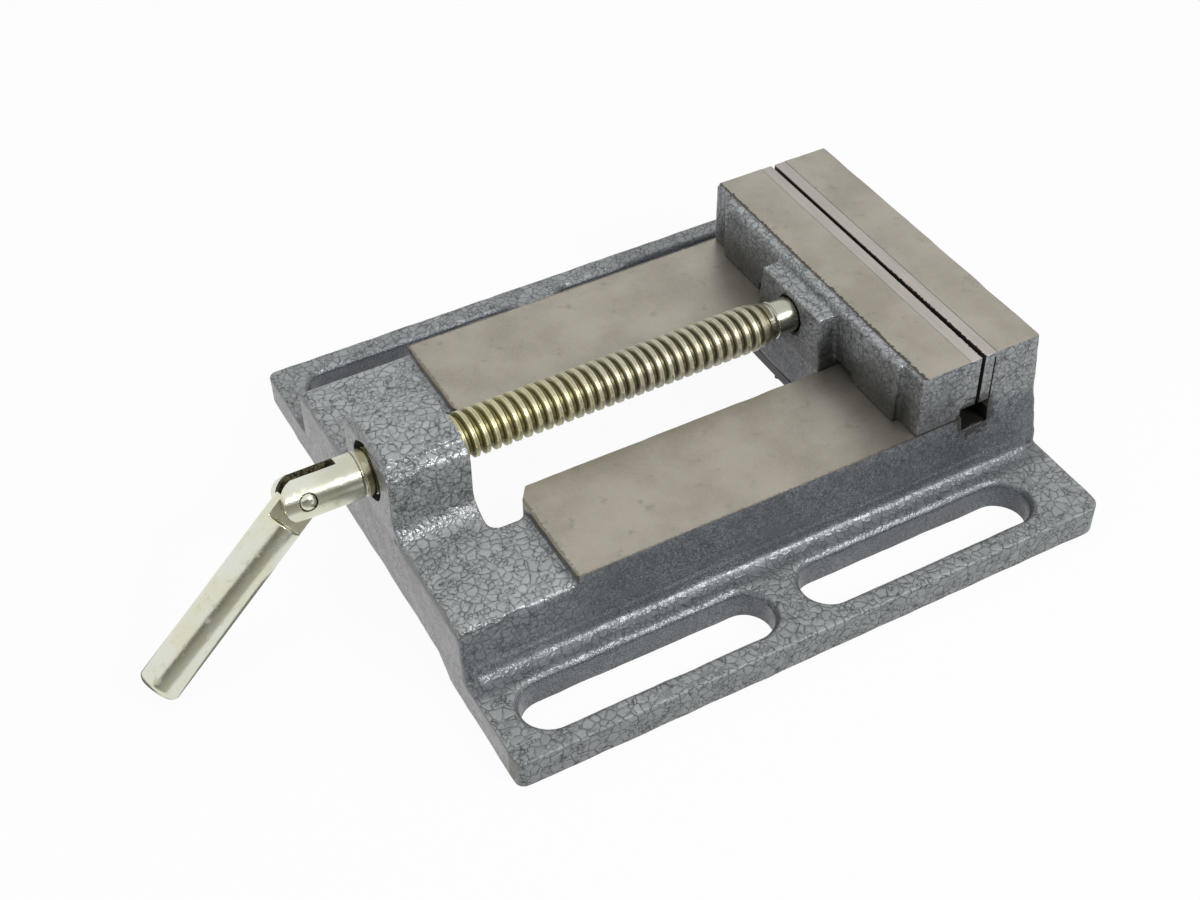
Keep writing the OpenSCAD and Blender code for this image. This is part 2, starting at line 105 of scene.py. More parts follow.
def rough_copy(node, name):
    """A merged copy of a drawn part, ready to be worked on."""
    piece = bpy.data.objects.new(name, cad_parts[node].data.copy())
    piece.data.materials.clear()
    bpy.context.scene.collection.objects.link(piece)
    return merge(piece, face_out=False)


def leave_stock(piece, way, spot, thick):
    """Moves the flat faces that look one way at a spot out, which leaves stock on them for machining."""
    axis, sign = "XYZ".index(way[1]), -1 if way[0] == "-" else 1
    take_up(piece)
    bpy.ops.object.mode_set(mode="EDIT")
    bpy.ops.mesh.select_mode(type="FACE")
    bpy.ops.mesh.select_all(action="DESELECT")
    bpy.ops.object.mode_set(mode="OBJECT")
    for face in piece.data.polygons:
        face.select = face.normal[axis] * sign > 0.99 and abs(face.center[axis] / MM - spot) < 0.1
    bpy.ops.object.mode_set(mode="EDIT")
    shift = Vector((0, 0, 0))
    shift[axis] = sign * thick * MM
    bpy.ops.transform.translate(value=shift)
    bpy.ops.object.mode_set(mode="OBJECT")


def block(low, high):
    """A square block between two corners."""
    low, high = Vector(low) * MM, Vector(high) * MM
    bpy.ops.mesh.primitive_cube_add(size=1, location=(low + high) / 2, scale=high - low)
    bpy.ops.object.transform_apply()
    return bpy.context.object


def rod(radius, corners=128):
    """A long rod across the vise, through the origin."""
    bpy.ops.mesh.primitive_cylinder_add(vertices=corners, radius=radius * MM, depth=2 * REACH * MM,
                                        rotation=(pi / 2, 0, 0))
    bpy.ops.object.transform_apply()
    return bpy.context.object


def cut(piece, cutter, how="DIFFERENCE"):
    """Cuts a piece with another one, or joins them, and puts the cutter away."""
    work(piece, "BOOLEAN", object=cutter, operation=how, solver="MANIFOLD")
    bpy.data.objects.remove(cutter)
    return piece


def cut_both_sides(piece, low, high):
    """Cuts a block out of a piece on the near side and on the far side."""
    for way in (-1, 1):
        near, far = sorted((way * low[1], way * high[1]))
        cut(piece, block((low[0], near, low[2]), (high[0], far, high[2])))


def trace(name, outline):
    """Draws an outline of radius and place, one extruded point after another."""
    spots = [Vector((radius, 0, place)) * MM for radius, place in outline]
    bpy.ops.mesh.primitive_plane_add(size=MM)
    piece = bpy.context.object
    piece.name = name
    bpy.ops.object.mode_set(mode="EDIT")
    bpy.ops.mesh.select_mode(type="VERT")
    bpy.ops.mesh.select_all(action="SELECT")
    bpy.ops.mesh.merge(type="CENTER")
    bpy.ops.transform.translate(value=spots[0])
    for here, there in zip(spots, spots[1:]):
        bpy.ops.mesh.extrude_vertices_move(TRANSFORM_OT_translate={"value": there - here})
    bpy.ops.object.mode_set(mode="OBJECT")
    return piece


def turned(name, outline, steps=96):
    """A turned solid about Z, from the outline of its half section."""
    piece = trace(name, outline)
    work(piece, "SCREW", steps=steps, render_steps=steps, use_merge_vertices=True, merge_threshold=HAIR)
    return merge(piece)


def lay(piece, place):
    """Puts a piece where it belongs and leaves its object at the origin."""
    piece.matrix_world = place
    take_up(piece)
    bpy.ops.object.transform_apply()
    return piece


def shifted(*way):
    """A place so many millimetres away."""
    return Matrix.Translation(Vector(way) * MM)


def soften(piece, grain, passes):
    """Melts sharp edges and corners, as casting or plating does."""
    take_up(piece)
    piece.data.remesh_voxel_size = grain * MM
    bpy.ops.object.voxel_remesh()
    return work(piece, "SMOOTH", iterations=passes, factor=0.5)


def dress(piece, finishes, choose, angle=35):
    """Gives a piece its finishes, one chosen for each face by its place and normal."""
    piece.data.materials.clear()
    for finish in finishes:
        piece.data.materials.append(finish)
    for face in piece.data.polygons:
        face.material_index = finishes.index(choose(face.center / MM, face.normal))
    take_up(piece)
    bpy.ops.object.shade_smooth_by_angle(angle=radians(angle))
    # Machined faces stay flat right up to their edges
    for face in piece.data.polygons:
        if finishes[face.material_index] is IRON and max(map(abs, face.normal)) > 0.995:
            face.use_smooth = False


def hand_over(piece, body, node):
    """Lets a finished piece move with its body, in place of the drawn part."""
    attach(piece, body)
    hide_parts(node)


ALONG_X = Matrix.Rotation(pi / 2, 4, "Y")
ON_SCREW = shifted(0, 0, SCREW_HIGH)
FORK = shifted(PIN_AT, 0, SCREW_HIGH) @ Matrix.Rotation(-FORK_ROLL, 4, "X")


# Finishes: paint, iron and zinc


class Reading:
    """A value that changes over a surface. Sums on it add the nodes that work them out."""

    def __init__(self, nodes, socket):
        self.nodes, self.socket = nodes, socket

    def sum(self, operation, *terms):
        return self.nodes.add("Math", {"operation": operation}, dict(enumerate(terms)))

    def __add__(self, other):
        return self.sum("ADD", self, other)

    def __sub__(self, other):
        return self.sum("SUBTRACT", self, other)

    def __rsub__(self, other):
        return self.sum("SUBTRACT", other, self)

    def __mul__(self, other):
        return self.sum("MULTIPLY", self, other)

    def __pow__(self, other):
        return self.sum("POWER", self, other)

    def __abs__(self):
        return self.sum("ABSOLUTE", self)

    __radd__, __rmul__ = __add__, __mul__


class Nodes:
    """The nodes of a finish, or of the room."""

    def __init__(self, tree):
        self.tree = tree

    def add(self, kind, settings=None, values=None, out=0):
        """Adds a node with its settings and its input values, and gives one of its outputs."""
        node = self.tree.nodes.new("ShaderNode" + kind)
        for key, value in (settings or {}).items():
            setattr(node, key, value)
        for key, value in (values or {}).items():
            if isinstance(value, Reading):
                self.tree.links.new(value.socket, node.inputs[key])
            else:
                node.inputs[key].default_value = value
        return Reading(self, node.outputs[out])

    def mix(self, share, first, second):
        """A blend of two colours."""
        return self.add("Mix", {"data_type": "RGBA"},
                        {0: share, 6: self.tint(first), 7: self.tint(second)}, out=2)

    @staticmethod
    def tint(colour):
        """A colour with the opacity that a socket asks for."""
        return colour if isinstance(colour, Reading) else (*colour, 1)

    def plainly_seen(self):
        """1 where the camera looks straight at something, or sees it in metal or through glass."""
        return sum(self.add("LightPath", out=f"Is {way} Ray") for way in ("Camera", "Glossy", "Transmission"))


class Finish(Nodes):
    """A material of the vise, which varies with the place on it."""

    def __init__(self, name, **constants):
        self.material = bpy.data.materials.new(name)
        self.material.use_nodes = True
        super().__init__(self.material.node_tree)
        self.shader = self.tree.nodes["Principled BSDF"]
        for socket, value in constants.items():
            self.shader.inputs[socket.replace("_", " ")].default_value = value

    def place(self):
        """The place on the vise in millimetres."""
        return self.scale(self.add("TexCoord", out="Object"), 1 / MM)

    def scale(self, vector, share):
        """A vector made longer or shorter."""
        return self.add("VectorMath", {"operation": "SCALE"}, {0: vector, "Scale": share})

    def stretch(self, vector, shares):
        """A vector made longer or shorter by another share each way."""
        return self.add("VectorMath", {"operation": "MULTIPLY"}, {0: vector, 1: shares})

    def shift(self, vector, size, reach):
        """Moves a place to and fro by up to half of reach, in waves of a size."""
        wave = self.add("VectorMath", {"operation": "SUBTRACT"},
                        {0: self.noise(size, vector, out="Color"), 1: (0.5, 0.5, 0.5)})
        return self.add("VectorMath", {"operation": "ADD"}, {0: vector, 1: self.scale(wave, reach)})

    def part(self, vector, letter):
        """One of the three parts of a vector."""
        return self.add("SeparateXYZ", values={0: vector}, out=letter)

    def noise(self, size, where, detail=2.0, roughness=0.5, out="Fac"):
        """Cloudy noise whose lumps are about size millimetres across."""
        return self.add("TexNoise", values={"Vector": where, "Scale": 1 / size, "Detail": detail,
                                            "Roughness": roughness}, out=out)

    def rise(self, value, low, high):
        """0 below low, 1 above high, and a soft step between."""
        return self.add("MapRange", {"interpolation_type": "SMOOTHSTEP"},
                        {"Value": value, "From Min": low, "From Max": high})

    def fall(self, value, low, high):
        """1 below low, 0 above high, and a soft step between."""
        return 1 - self.rise(value, low, high)

    def blend(self, share, first, second):
        """A blend of two numbers."""
        return self.add("Mix", values={0: share, 2: first, 3: second})

    def coats(self, colour, *coats):
        """Lays coats over a colour, each with the share that it covers and its own colour."""
        for share, coat in coats:
            colour = self.mix(share, colour, coat)
        return colour

    def bump(self, height, depth, under=None):
        """Relief that is depth millimetres high."""
        values = {"Height": height, "Distance": depth * MM}
        if under:
            values["Normal"] = under
        return self.add("Bump", values=values)

    def feed(self, **values):
        """Feeds the finish's shader, and gives the finished material."""
        for socket, value in values.items():
            self.tree.links.new(value.socket, self.shader.inputs[socket.replace("_", " ")])
        return self.material


def hammer_paint():
    """Grey-blue hammer paint: pale cells with thin dark seams on level faces, fine speckle on steep ones."""
    paint = Finish("grey_hammer_paint", Metallic=0.3, IOR=1.55)
    place, out = paint.place(), paint.add("TexCoord", out="Normal")
    along, across, high = paint.part(place, "X"), abs(paint.part(place, "Y")), paint.part(place, "Z")
    flatness = abs(paint.part(out, "Z"))

    # Cells of two sizes, grit and clouds
    cell_place = paint.shift(paint.shift(place, 7, 2.6), 0.9, 0.6)

    def cells(size):
        """The way to the nearest seam, and a shade for each cell."""
        values = {"Vector": cell_place, "Scale": 1 / size}
        return (paint.add("TexVoronoi", {"feature": "DISTANCE_TO_EDGE"}, values),
                paint.part(paint.add("TexVoronoi", values=values, out="Color"), "X"))

    (wide_edge, wide_shade), (fine_edge, fine_shade) = cells(2.5), cells(1.25)
    small = paint.rise(paint.noise(5, place, detail=1.0), 0.50, 0.58)
    edge, shade = paint.blend(small, wide_edge, fine_edge * 0.55), paint.blend(small, wide_shade, fine_shade)
    grit = paint.noise(0.42, place, detail=3.0, roughness=0.6)
    cloud = paint.noise(15, place, detail=3.0)
    drawn = paint.rise(paint.noise(1.9, place), 0.34, 0.54) * 0.75 + 0.25
    seam = paint.fall(edge, 0.012, 0.060) * drawn

    # Where a place is on the castings
    by_bridge = paint.rise(high, DECK_TOP - 1, DECK_TOP + 1) * paint.fall(along, -62, -52)
    by_jaws = paint.rise(along, 38, 41)
    on_flange = paint.fall(high, FLANGE_TOP + 0.3, FLANGE_TOP + 2)
    # Painted shade on the flange's top between the walls and the slots
    painted_shade_by_wall = on_flange * paint.fall(across, 57.2, 59.2)
    facing = paint.rise(paint.part(out, "X") * -1, 0.6, 0.85) * paint.fall(along, -78, -70)

    # Level faces and the rims of the flanges: cells, a few of them lost in darker blots
    blot = paint.rise(paint.noise(3.2, place, detail=4.0, roughness=0.6), 0.54, 0.66)
    level_colour = paint.coats(
        paint.mix(shade * 0.6 + cloud * 0.7 - 0.15, (0.215, 0.233, 0.242), (0.332, 0.35, 0.354)),
        # A paler coat on the bridge: painted highlight for its glints
        (by_bridge * 0.2, (0.37, 0.39, 0.40)),
        (blot * 0.5 + on_flange * 0.31, (0.125, 0.134, 0.132)),
        # Painted shade beside the walls
        (painted_shade_by_wall * 0.55, (0.075, 0.083, 0.092)),
        (paint.fall(edge, 0.0, 0.19) * 0.42, (0.10, 0.108, 0.112)),
        (paint.rise(grit, 0.55, 0.78) * 0.35, (0.42, 0.44, 0.45)),
        (paint.fall(grit, 0.26, 0.44) * 0.4, (0.10, 0.108, 0.112)),
        (seam * 0.85, (0.035, 0.039, 0.044)))

    # Steep faces: dark slate with a fine speckle, paler and smoother in front
    seam_left = paint.rise(high, 9, 22) * (paint.rise(along, 10, 60) * 0.3 + 0.6)
    # Painted shade: the steep faces below the ways darken towards the jaws
    painted_shade_towards_jaws = paint.rise(along, -10, 70) * paint.fall(high, RAIL_TOP - 4, RAIL_TOP)
    fleck = paint.rise(paint.noise(0.55, place), 0.67, 0.74)
    slate = paint.coats(
        paint.mix(paint.rise(grit, 0.39, 0.61), (0.056, 0.063, 0.071), (0.175, 0.19, 0.205)),
        (paint.rise(cloud, 0.4, 0.62) * 0.35, (0.06, 0.067, 0.075)),
        (painted_shade_towards_jaws * 0.3, (0.045, 0.050, 0.056)),
        (paint.fall(edge, 0.0, 0.13) * drawn * seam_left, (0.035, 0.039, 0.045)),
        (fleck * 0.65, (0.40, 0.42, 0.44)))
    speckle = paint.rise(grit, 0.34, 0.66)
    front = paint.mix(speckle * 0.45 + cloud * 0.6, (0.175, 0.182, 0.176), (0.245, 0.252, 0.246))
    steep_colour = paint.mix(facing * 0.85, slate, front)

    # How far a place is painted like a level face: in part on the jaws, the bridge and the front
    raised = paint.rise(high, RAIL_TOP - 3, RAIL_TOP + 7) * (1 - facing)
    raised = raised * (0.82 - paint.rise(along, -60, -40) * 0.18)
    rim = paint.rise(across, BASE_HALF - 1.2, BASE_HALF - 0.6) * 0.9
    by_front = paint.fall(along + cloud * 20, -58, -22) * (1 - facing) * paint.rise(high, 9, 12) * 0.45
    level = paint.rise(flatness, 0.62, 0.92)
    level = level + (1 - level) * (raised + rim + by_front * (1 - raised))

    # Both jaws and the sides of the bridge have a coarser, greyer speckle
    on_jaws = paint.rise(high, RAIL_TOP, RAIL_TOP + 2) * by_jaws
    on_sides = by_bridge * paint.fall(flatness, 0.75, 0.95) * (1 - facing)
    coarse = paint.noise(0.75, place, detail=3.0, roughness=0.65)
    rough_skin = on_jaws + on_sides

    # Painted shade with oil and dust low on the sliding jaw, and painted shade with oil round the ends of the
    # chip groove
    low = paint.fall(high, RAIL_TOP + 3, RAIL_TOP + 19) * paint.rise(high, RAIL_TOP - 1, RAIL_TOP)
    low_shade_and_dirt = low * by_jaws * paint.fall(along, 60, 64) * (1 - paint.rise(across, 46, 49) * 0.45)
    off_groove = ((along - GROOVE_MID) ** 2 + (high - 27) ** 2) ** 0.5 + paint.noise(1.4, place, detail=3.0) * 9
    outside = paint.rise(across, 44, 46)
    colour = paint.coats(
        paint.mix(level, steep_colour, level_colour),
        (paint.rise(coarse, 0.54, 0.66) * rough_skin * 0.42, (0.41, 0.415, 0.41)),
        (paint.fall(coarse, 0.36, 0.46) * rough_skin * 0.5, (0.055, 0.057, 0.056)),
        (low_shade_and_dirt * (cloud * 0.6 + 0.55), (0.026, 0.027, 0.023)),
        (paint.fall(off_groove, 10.2, 11.6) * outside * 0.9, (0.016, 0.016, 0.014)))

    # Relief and gloss: duller in the seams and on the flanges' outer rims, glossier on the bridge
    relief = paint.bump(paint.rise(edge, 0.0, 0.25) * level, 0.09)
    relief = paint.bump(grit, 0.06, under=relief)
    relief = paint.bump(paint.noise(1.5, place) * (1 + by_bridge * 2.4), 0.08, under=relief)
    outer = paint.rise(across, BASE_HALF - 2, BASE_HALF - 1)
    roughness = 0.25 + 0.12 * shade + 0.2 * seam + outer * 0.2 - 0.05 * by_bridge
    return paint.feed(Base_Color=colour, Roughness=roughness, Normal=relief)


def bare_iron():
    """Machined grey iron, warm and a little stained, with dark chipped edges."""
    iron = Finish("machined_iron", Metallic=0.8)
    place = iron.place()
    along, across, high = iron.part(place, "X"), abs(iron.part(place, "Y")), iron.part(place, "Z")
    cloud = iron.noise(20, place, detail=4.0, roughness=0.6)
    grain = iron.noise(0.5, place, detail=3.0, roughness=0.7)
    smear = iron.rise(iron.noise(4.5, place, detail=5.0, roughness=0.65), 0.58, 0.70)
    nick = iron.rise(iron.noise(1.7, place, detail=4.0, roughness=0.7), 0.70, 0.74)

    # The edges of the ways, and the edge of the sliding jaw's painted ledge
    ragged = iron.noise(1.1, place, detail=3.0) * 2.4 - 0.6
    front_edge = iron.fall(along - RAIL_FRONT - ragged, 0.0, 0.35)
    window_edge = iron.fall(across - (WINDOW_HALF - 0.6) - ragged * 0.7, 0.0, 0.3)
    side_edge = iron.rise(across + ragged * 0.6 - JAW_HALF, -0.15, 0.2)
    on_ways = iron.rise(high, RAIL_TOP - 4, RAIL_TOP - 3) * iron.fall(high, RAIL_TOP + 0.5, RAIL_TOP + 1)
    on_jaw = iron.rise(high, JAW_TOP - 1, JAW_TOP - 0.5) * iron.rise(along, 40, 42)
    ledge_edge = iron.fall(along - LEDGE_END - ragged, 0.0, 0.3) * on_jaw
    colour = iron.coats(
        iron.mix(iron.rise(cloud, 0.3, 0.7), (0.27, 0.245, 0.205), (0.36, 0.33, 0.283)),
        (iron.rise(grain, 0.35, 0.75) * 0.28, (0.44, 0.41, 0.36)),
        (smear * 0.5, (0.21, 0.19, 0.15)),
        (nick * 0.6, (0.12, 0.10, 0.08)),
        ((front_edge + window_edge + side_edge) * on_ways * 0.55, (0.085, 0.07, 0.048)),
        (ledge_edge * 0.9, (0.04, 0.038, 0.033)))
    return iron.feed(Base_Color=colour, Roughness=0.28 + 0.14 * cloud + 0.2 * nick,
                     Normal=iron.bump(grain, 0.014))


def ground_steel():
    """Ground steel of the jaw plates, paler than the castings, chipped and dark with painted shade along the
    mouth of the vise.
    """
    steel = Finish("ground_steel", Metallic=0.75)
    place = steel.place()
    over, side = steel.part(place, "Z") - JAW_TOP, steel.part(place, "Y")
    cloud = steel.noise(9, place, detail=4.0)
    lines = steel.noise(1.0, steel.stretch(place, (0.8, 0.05, 5.0)), detail=3.0)
    stain = steel.rise(steel.noise(3, place, detail=4.0), 0.66, 0.74)

    # Dark along both upper edges, less at the far end: chipped crumbs and painted shade of the gap; and the dark
    # between the plates, painted shade
    off_mouth = abs(steel.part(place, "X") - (MOVING_FACE + FIXED_FACE) / 2)
    on_top = steel.rise(over, -0.5, -0.2)
    nibble = steel.noise(0.9, place, detail=3.0) * (1.15 - steel.rise(side, -JAW_HALF, JAW_HALF) * 0.75)
    chipped_and_shaded_edge = steel.fall(off_mouth - nibble, 0.12, 0.28) * on_top
    upper = steel.rise(over + steel.noise(1.6, place, detail=3.0) * 2, -6, -1)
    near_end = steel.rise(abs(side), 44, 49)
    # Painted shade on the plates' faces between them, near the top and the near end
    inside = steel.fall(off_mouth, 0.62, 0.70) * (1 - on_top) * (upper + near_end * (1 - upper))
    mouth = chipped_and_shaded_edge + inside
    joint = steel.rise(off_mouth, 3.92, 4.12) * on_top
    colour = steel.coats(
        steel.mix(cloud, (0.345, 0.313, 0.285), (0.45, 0.418, 0.39)),
        (steel.rise(lines, 0.4, 0.7) * 0.25, (0.27, 0.24, 0.215)),
        (stain * 0.35, (0.30, 0.24, 0.12)),
        (mouth * 0.95 + joint * 0.55, (0.02, 0.018, 0.015)))
    return steel.feed(Base_Color=colour, Roughness=0.32 + 0.16 * cloud + 0.3 * mouth,
                      Normal=steel.bump(lines, 0.012))


def yellow_zinc():
    """Yellow zinc on the rolled thread: gold near the handle, duller near the jaw, black-brown in the groove as
    painted shade over oil, with a painted highlight along the crests.
    """
    zinc = Finish("yellow_zinc", Metallic=0.95)
    place = zinc.place()
    high = zinc.part(place, "Z") - SCREW_HIGH
    radius = (high ** 2 + zinc.part(place, "Y") ** 2) ** 0.5
    crest = zinc.rise(radius, CREST - 1.05, CREST - 0.25)
    # A pale painted highlight along the tops of the crests
    crest_highlight = zinc.rise(radius, CREST - 0.06, CREST - 0.01)
    worn = zinc.rise(zinc.part(place, "X") + zinc.noise(9, place, detail=3.0) * 30, -38, 12)
    cloud = zinc.rise(zinc.noise(4, place, detail=4.0), 0.35, 0.65)
    scuff = zinc.rise(zinc.noise(0.7, place, detail=4.0, roughness=0.65), 0.54, 0.70)
    bright = zinc.mix(worn, zinc.mix(cloud, (0.39, 0.365, 0.185), (0.50, 0.475, 0.29)),
                      zinc.mix(cloud, (0.34, 0.32, 0.235), (0.44, 0.415, 0.32)))
    # Painted shade over oil in the groove
    groove_shade_and_oil = zinc.mix(worn, (0.165, 0.15, 0.062), (0.112, 0.102, 0.06))
    colour = zinc.coats(
        zinc.mix(crest, groove_shade_and_oil, bright),
        (crest_highlight * 0.6, (0.66, 0.63, 0.50)),
        (scuff * 0.5, (0.19, 0.17, 0.10)))
    return zinc.feed(Base_Color=colour, Roughness=0.43 + 0.12 * scuff,
                     Normal=zinc.bump(zinc.noise(0.6, place, detail=3.0), 0.06))


def bright_zinc():
    """Bright zinc with a faint cream bloom, small pits and soft waves."""
    zinc = Finish("bright_zinc", Metallic=1.0)
    place = zinc.place()
    along = zinc.part(place, "X")
    cloud = zinc.noise(7, place, detail=4.0, roughness=0.6)
    bloom = zinc.rise(zinc.noise(2.4, place, detail=4.0), 0.56, 0.72)
    pits = zinc.rise(zinc.noise(1.1, place, detail=5.0, roughness=0.7), 0.69, 0.75)
    speck = zinc.noise(0.4, place, detail=3.0, roughness=0.65)

    # Darker on the nose, and on the neck as painted shade of what it mirrors, with old oil on the collar at the
    # bridge
    dark_nose_and_neck_shade = zinc.rise(along, 20, 30) * 0.4 + zinc.rise(along, -99, -93) * 0.35
    oily = zinc.rise(along, -86.2, -85.2) * zinc.fall(along, -60, -50) * zinc.rise(cloud, 0.3, 0.55)
    colour = zinc.coats(
        zinc.mix(zinc.rise(cloud, 0.35, 0.65), (0.68, 0.675, 0.53), (0.70, 0.715, 0.64)),
        (bloom * 0.45, (0.58, 0.54, 0.36)),
        (pits * 0.7, (0.16, 0.14, 0.09)),
        (zinc.rise(speck, 0.55, 0.75) * 0.25, (0.40, 0.38, 0.28)),
        (dark_nose_and_neck_shade, (0.36, 0.35, 0.28)),
        (oily * 0.8, (0.22, 0.19, 0.09)))
    relief = zinc.bump(zinc.noise(3, place, detail=3.0), 0.05)
    relief = zinc.bump(speck, 0.012, under=relief)
    return zinc.feed(Base_Color=colour, Roughness=0.17 + 0.12 * cloud + 0.2 * bloom, Normal=relief)


def black_oxide():
    """Oiled black oxide of the screws and the keeper, worn through in specks."""
    oxide = Finish("black_oxide", Metallic=0.8)
    place = oxide.place()
    cloud = oxide.noise(2.5, place, detail=4.0)
    wear = oxide.rise(oxide.noise(0.7, place, detail=4.0), 0.62, 0.75)
    colour = oxide.coats(
        oxide.mix(cloud, (0.035, 0.035, 0.038), (0.10, 0.10, 0.105)),
        (wear * 0.4, (0.22, 0.21, 0.20)))
    return oxide.feed(Base_Color=colour, Roughness=0.35 + 0.2 * cloud, Normal=oxide.bump(cloud, 0.03))


def grime_and_shade():
    """Oil, dust and rust in the bores and the fork's slot, and black oil in the chip groove, all darkened as
    painted shade in these hollows.
    """
    hollow_finish = Finish("grime_and_shade", Specular_IOR_Level=0.2)
    place = hollow_finish.place()
    along = hollow_finish.part(place, "X")
    crumbs = hollow_finish.noise(0.7, place, detail=4.0, roughness=0.65)
    rust = hollow_finish.rise(hollow_finish.noise(2.2, place, detail=3.0), 0.55, 0.7)
    in_fork = hollow_finish.fall(along, -92, -90) * hollow_finish.rise(crumbs, 0.42, 0.6)
    in_groove = hollow_finish.rise(along, 60, 63)
    colour = hollow_finish.coats(
        hollow_finish.mix(hollow_finish.rise(crumbs, 0.4, 0.7), (0.010, 0.009, 0.006), (0.048, 0.041, 0.026)),
        (rust * 0.35, (0.085, 0.066, 0.036)),
        (in_fork * 0.75, (0.13, 0.11, 0.065)),
        # Near black in the chip groove: painted shade over its oil
        (in_groove, (0.004, 0.004, 0.003)))
    return hollow_finish.feed(Base_Color=colour, Roughness=0.6 + 0.3 * crumbs, Normal=hollow_finish.bump(crumbs, 0.12))


PAINT, IRON, STEEL = hammer_paint(), bare_iron(), ground_steel()
YELLOW, BRIGHT, BLACK, GRIME_AND_SHADE = yellow_zinc(), bright_zinc(), black_oxide(), grime_and_shade()


# Castings


def cast(node, name, stock, shape):
    """A rough casting: soft edges and a slightly lumpy skin, with stock left on the faces to be machined."""
    piece = rough_copy(node, name)
    for way, spot, thick in stock:
        leave_stock(piece, way, spot, thick)
    shape(piece)
    soften(piece, 0.6, 4)
    lumps = bpy.data.textures.new(name + "_lumps", "CLOUDS")
    lumps.noise_scale = 9 * MM
    lumps.noise_depth = 1
    work(piece, "DISPLACE", texture=lumps, texture_coords="LOCAL", strength=0.45 * MM, mid_level=0.5)
    work(piece, "DECIMATE", ratio=0.28)
    return piece


def bore(start, end, radius):
    """A plain drill for a hole on the screw's axis."""
    drill = turned("drill", [(0, start), (radius, start), (radius, end), (0, end)], 64)
    return lay(drill, ON_SCREW @ ALONG_X)


def off_screw(at):
    """How far a place lies from the screw's axis."""
    return Vector((at.y, at.z - SCREW_HIGH)).length


def slot_rims(piece):
    """Breaks the slots' upper edges wide, so that the paint runs over them in a round."""
    half_long, half_wide = (SLOT_END - SLOT_START) / 2, SLOT_WIDE / 2
    for end in (-1, 1):
        for side in (-1, 1):
            bpy.ops.mesh.primitive_cone_add(vertices=64, radius1=(half_wide - 0.6) * MM,
                                            radius2=(half_wide + 1.5) * MM, depth=2.1 * MM)
            rim = bpy.context.object
            # Draw the cone's two halves apart, to the length of the slot
            bpy.ops.object.mode_set(mode="EDIT")
            for way in (-1, 1):
                bpy.ops.mesh.select_all(action="DESELECT")
                bpy.ops.object.mode_set(mode="OBJECT")
                for spot in rim.data.vertices:
                    spot.select = spot.co.x * way > 0.1 * MM
                bpy.ops.object.mode_set(mode="EDIT")
                bpy.ops.mesh.select_mode(type="VERT")
                bpy.ops.transform.translate(value=(way * (half_long - half_wide) * MM, 0, 0))
            bpy.ops.object.mode_set(mode="OBJECT")
            lay(rim, shifted(end * (SLOT_START + half_long), side * SLOT_AT, FLANGE_TOP - 0.9))
            cut(piece, rim)


def base_casting():
    """The base in one casting, with its ways, groove, jaw top and underside machined and its bore cut."""
    stock = (("+Z", RAIL_TOP, 1), ("+Z", JAW_TOP, 1), ("-Z", 0, 1), ("-X", FIXED_FRONT, 1))
    piece = cast("base_casting", "base_with_ways", stock, slot_rims)
    for low, high in (
        ((RAIL_FRONT - 3, -PAST_JAWS, RAIL_TOP), (FIXED_FRONT, PAST_JAWS, ABOVE)),
        ((JAW_FRONT, -PAST_JAWS, GROOVE_FLOOR), (FIXED_FRONT, PAST_JAWS, ABOVE)),
        ((FIXED_FRONT - 3, -PAST_JAWS, JAW_TOP), (AWAY, PAST_JAWS, ABOVE)),
        ((-AWAY, -AWAY, -10), (AWAY, AWAY, 0)),
    ):
        cut(piece, block(low, high))
    cut(piece, bore(BASE_FRONT - 2, BASE_FRONT + 30, CREST + 0.12))
    cut(piece, bore(BASE_FRONT - 2, BASE_FRONT + 2.2, CREST + 1.6))

    def finish_at(at, out):
        on_top = out.z > 0.995 and min(abs(at.z - RAIL_TOP), abs(at.z - JAW_TOP)) < TOUCH
        on_foot = out.z < -0.995 and at.z < TOUCH
        on_seat = out.x < -0.995 and abs(at.x - FIXED_FRONT) < TOUCH and at.z > GROOVE_DARK_TOP
        if on_top or on_foot or on_seat:
            return IRON
        in_bore = at.x < BASE_FRONT + 28 and off_screw(at) < CREST + 1.65
        in_groove = (JAW_FRONT - 0.1 < at.x < FIXED_FRONT + 0.6 and abs(at.y) < JAW_HALF - 0.4
                     and GROOVE_FLOOR - 1 < at.z < GROOVE_DARK_TOP)
        # The bores and the chip groove take the grime finish, painted shade over oil and dust
        if in_bore or in_groove:
            return GRIME_AND_SHADE
        on_step = RAIL_FRONT - 1.2 < at.x < RAIL_FRONT + 0.7 and out.x < -0.4 and at.z > DECK_TOP + 0.9
        return IRON if on_step else PAINT

    dress(piece, (PAINT, IRON, GRIME_AND_SHADE), finish_at)
    hand_over(piece, "base", "base_casting")


def top_ledge(piece):
    """Lowers the edge of the sliding jaw's top on the handle's side, which the machining then leaves painted."""
    cut(piece, block((JAW_REAR - 8, -PAST_JAWS, LEDGE_TOP), (LEDGE_END, PAST_JAWS, ABOVE)))


